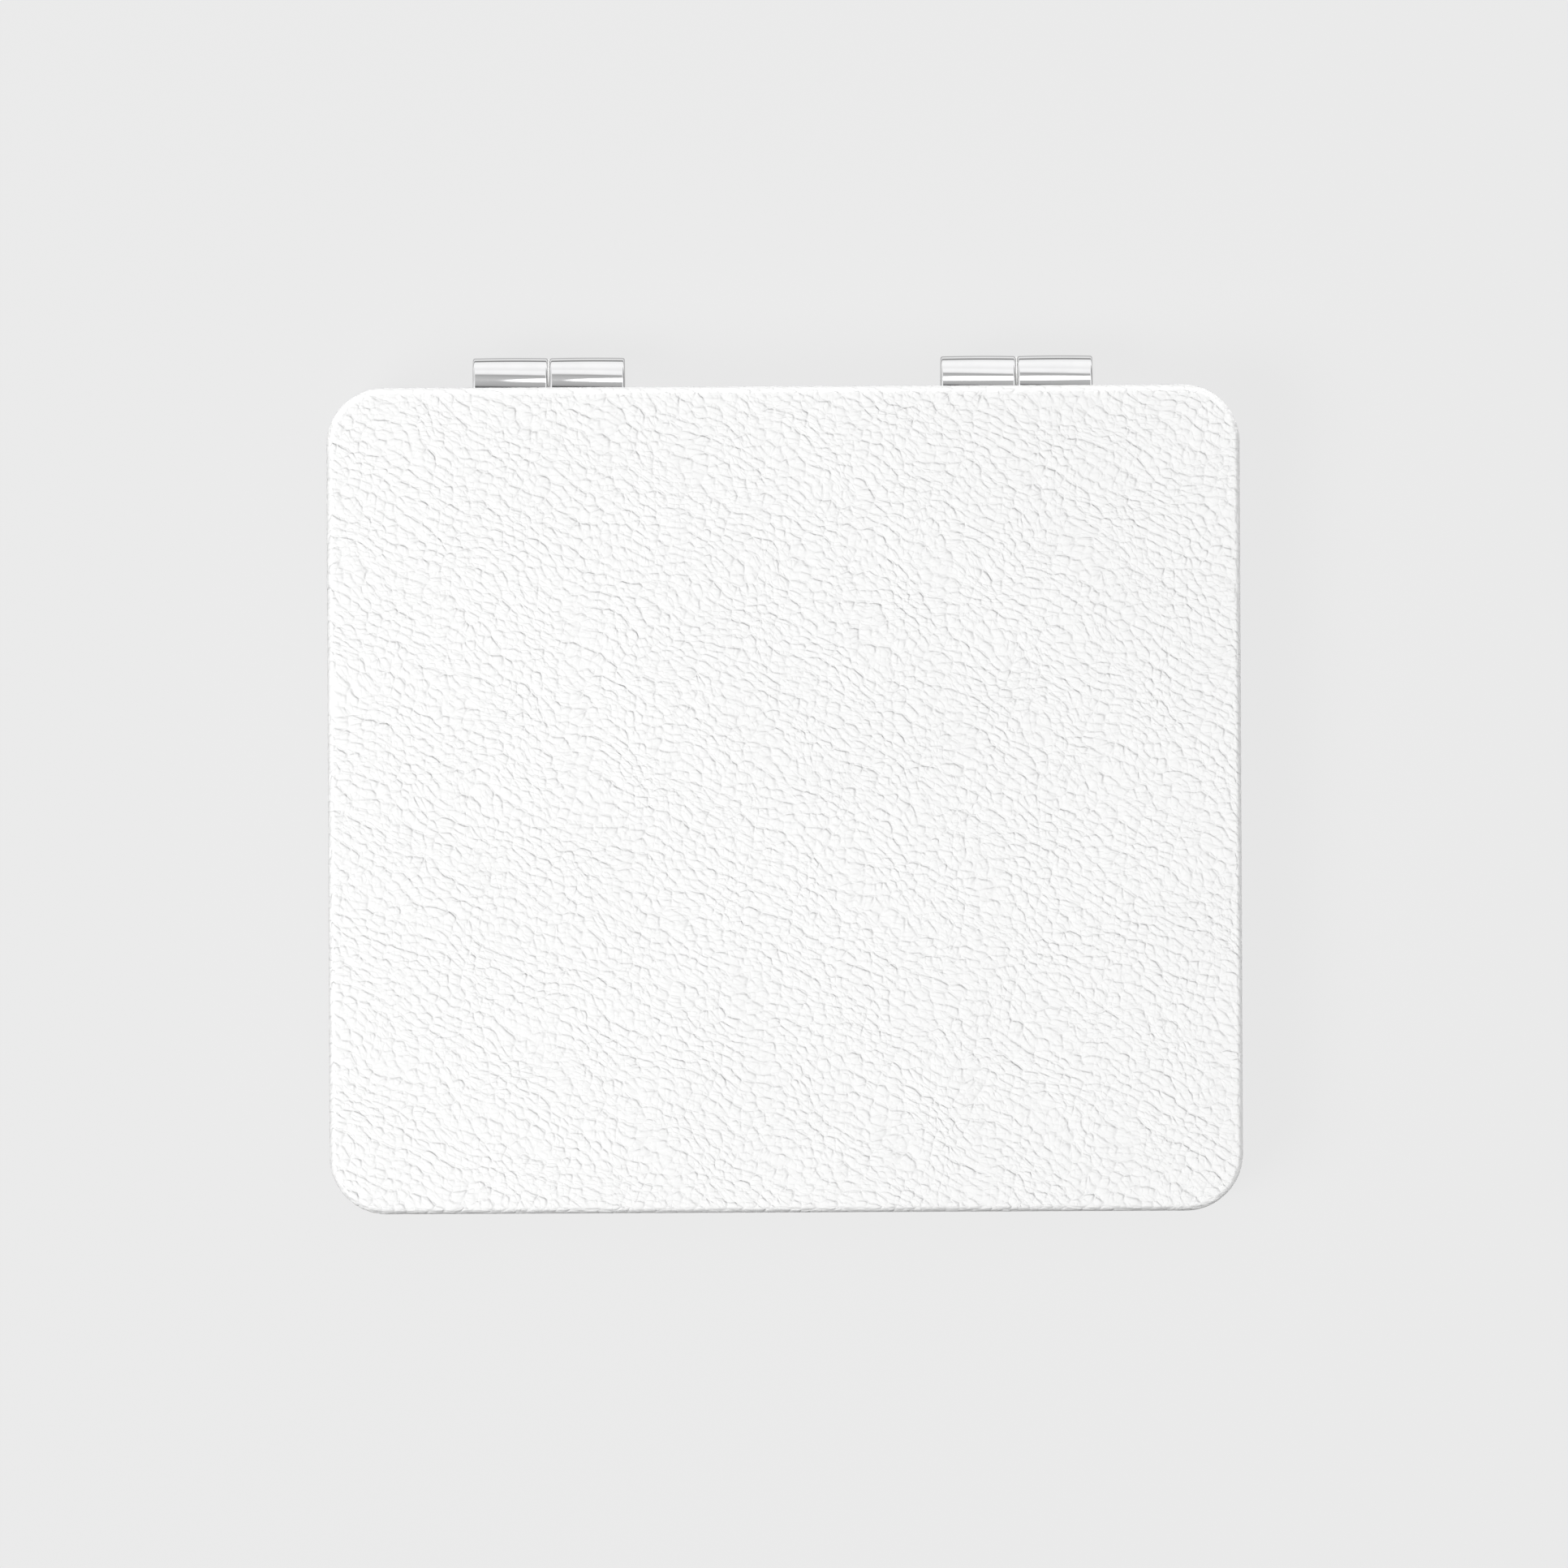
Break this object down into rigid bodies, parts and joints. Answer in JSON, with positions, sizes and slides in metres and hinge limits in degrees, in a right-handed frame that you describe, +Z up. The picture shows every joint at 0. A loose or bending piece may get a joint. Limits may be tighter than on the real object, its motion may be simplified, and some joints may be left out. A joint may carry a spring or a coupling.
{
  "type": "compact mirror",
  "caption": "Folding pocket mirror: slim rounded-square leather-covered case on rear barrel hinges, opening flat to a plain mirror and a magnifying mirror.",
  "frame": {"origin": "centre of the base half's leather underside, on which the closed compact lies", "axes": "+X along the hinge line, +Y towards the hinges, +Z up through the lid"},
  "size_m": [0.066, 0.062, 0.0114],
  "materials": {
    "leather": "pebble-grained",
    "foam": "matte",
    "shell": "matte",
    "bezel": "polished",
    "mirror": "polished",
    "hinge": "polished",
    "steel": "satin",
    "washer": "matte",
    "magnet": "satin"
  },
  "bodies": {
    "base": {"base_leather_cover": "leather", "base_foam_pad": "foam", "base_shell": "shell", "base_bezel": "bezel", "base_magnifying_mirror": "mirror", "base_mirror_pad": "foam", "base_magnets": "magnet", "base_hinge_screws": "steel", "left_hinge_base_knuckle": "hinge", "right_hinge_base_knuckle": "hinge", "left_hinge_pin": "steel", "right_hinge_pin": "steel", "left_hinge_washer": "washer", "right_hinge_washer": "washer"},
    "lid": {"lid_leather_cover": "leather", "lid_foam_pad": "foam", "lid_shell": "shell", "lid_bezel": "bezel", "lid_mirror": "mirror", "lid_mirror_pad": "foam", "lid_magnets": "magnet", "lid_hinge_screws": "steel", "left_hinge_lid_knuckle": "hinge", "right_hinge_lid_knuckle": "hinge"}
  },
  "joints": [
    {"name": "lid_hinge", "type": "hinge", "parent": "base", "child": "lid", "pos_m": [0, 0.02995, 0.00569], "axis": [-1, 0, 0], "range_deg": [0, 180]}
  ]
}
